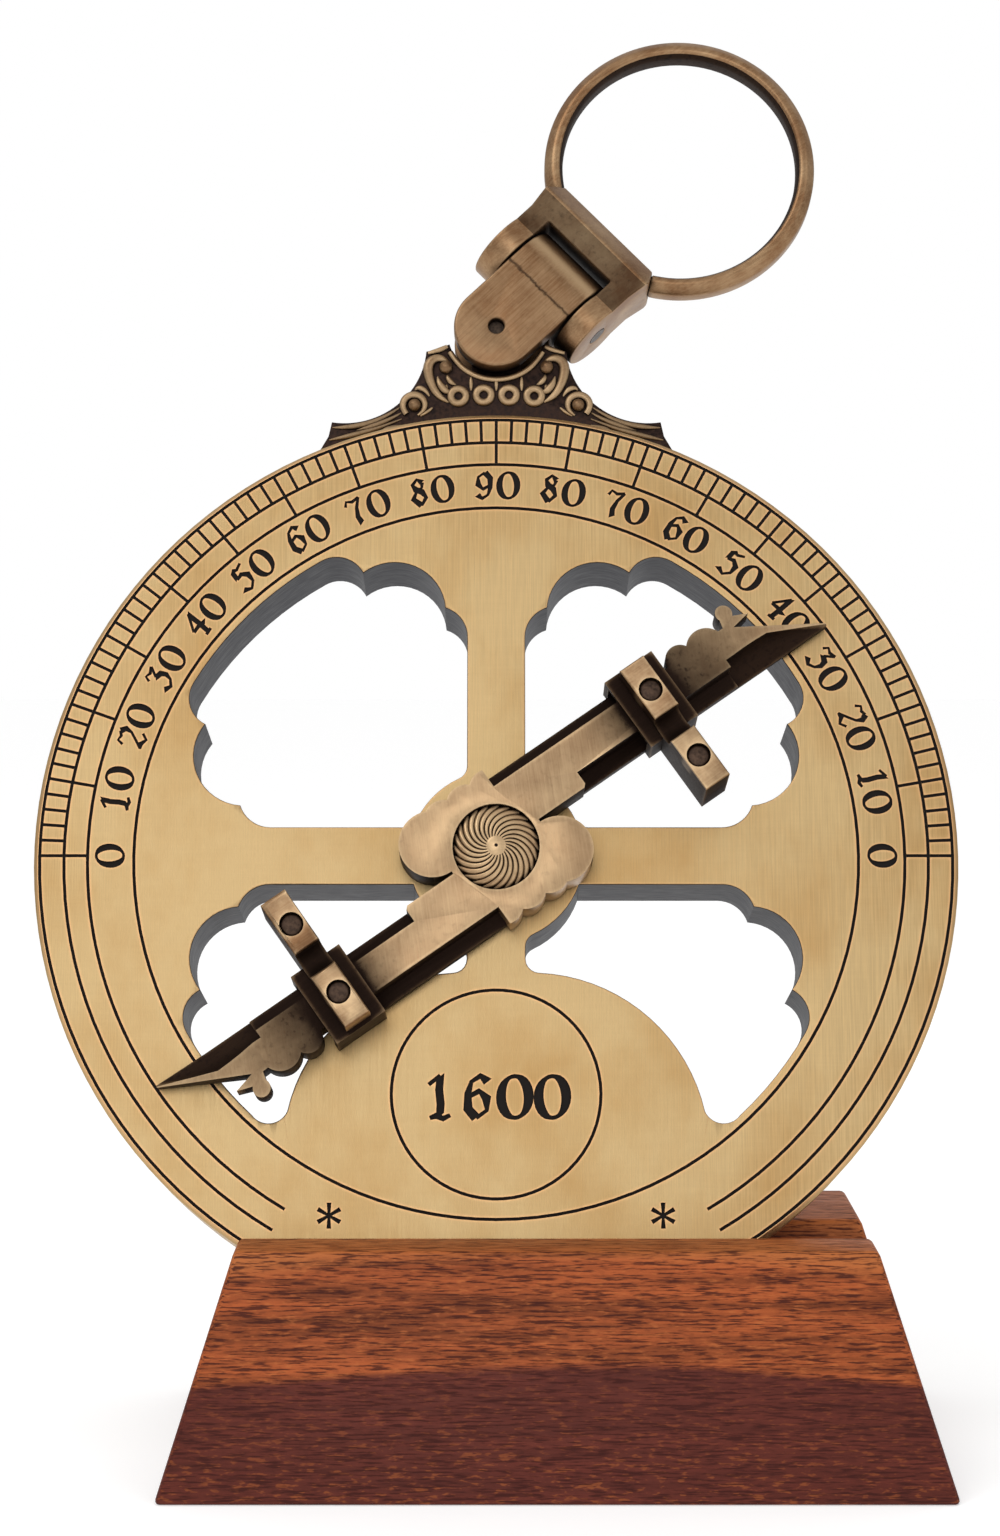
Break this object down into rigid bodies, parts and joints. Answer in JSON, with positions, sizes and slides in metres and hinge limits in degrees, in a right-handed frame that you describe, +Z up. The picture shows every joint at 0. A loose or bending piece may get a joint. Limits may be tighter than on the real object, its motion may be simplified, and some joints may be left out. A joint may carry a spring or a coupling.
{
  "type": "mariner's astrolabe on stand",
  "caption": "Mariner's astrolabe: open brass disc with degree scale, turning alidade with sight vanes, throne, shackle and finger ring, leaning in a slotted wooden stand.",
  "frame": {"origin": "centre of the stand's underside, which rests on the table", "axes": "+Z up, -Y towards the user who faces the graduated disc, +X to the user's right"},
  "size_m": [0.12, 0.0705, 0.1869],
  "materials": {
    "limb_brass": "satin, brushed",
    "aged_brass": "antiqued, rubbed on the high surfaces",
    "rivet_brass": "dark patina",
    "cast_brass": "dark casting with rubbed relief",
    "pin_steel": "turned",
    "mahogany": "oiled, fine straight grain"
  },
  "bodies": {
    "stand": {"stand_block": "mahogany"},
    "astrolabe": {"limb": "limb_brass", "throne": "cast_brass", "throne_dowel_left": "pin_steel", "throne_dowel_right": "pin_steel", "shackle_pin": "pin_steel", "thrust_washer": "aged_brass"},
    "shackle": {"shackle_link": "aged_brass"},
    "ring": {"yoke": "aged_brass", "yoke_pin": "pin_steel", "finger_ring": "aged_brass"},
    "alidade": {"alidade": "aged_brass", "upper_vane": "aged_brass", "upper_vane_rivet": "rivet_brass", "upper_vane_plug": "rivet_brass", "lower_vane": "aged_brass", "lower_vane_rivet": "rivet_brass", "lower_vane_plug": "rivet_brass", "pivot_bolt": "aged_brass", "rear_washer": "aged_brass", "pivot_nut": "aged_brass"}
  },
  "joints": [
    {"name": "astrolabe_lift", "type": "slide", "parent": "stand", "child": "astrolabe", "axis": [0, 0.2672, 0.9636], "range_m": [0, 0.03]},
    {"name": "alidade_turn", "type": "hinge", "parent": "astrolabe", "child": "alidade", "pos_m": [-0.0075, 0.00051, 0.07693], "axis": [0, -0.9636, 0.2672], "range_deg": [-100, 32]},
    {"name": "shackle_swing", "type": "hinge", "parent": "astrolabe", "child": "shackle", "pos_m": [-0.0075, 0.02575, 0.14548], "axis": [0, -0.9636, 0.2672], "range_deg": [0, 92]},
    {"name": "ring_fold", "type": "hinge", "parent": "shackle", "child": "ring", "pos_m": [-0.00023, 0.02763, 0.15224], "axis": [0.6947, -0.1922, -0.6932], "range_deg": [-85, 85]}
  ]
}
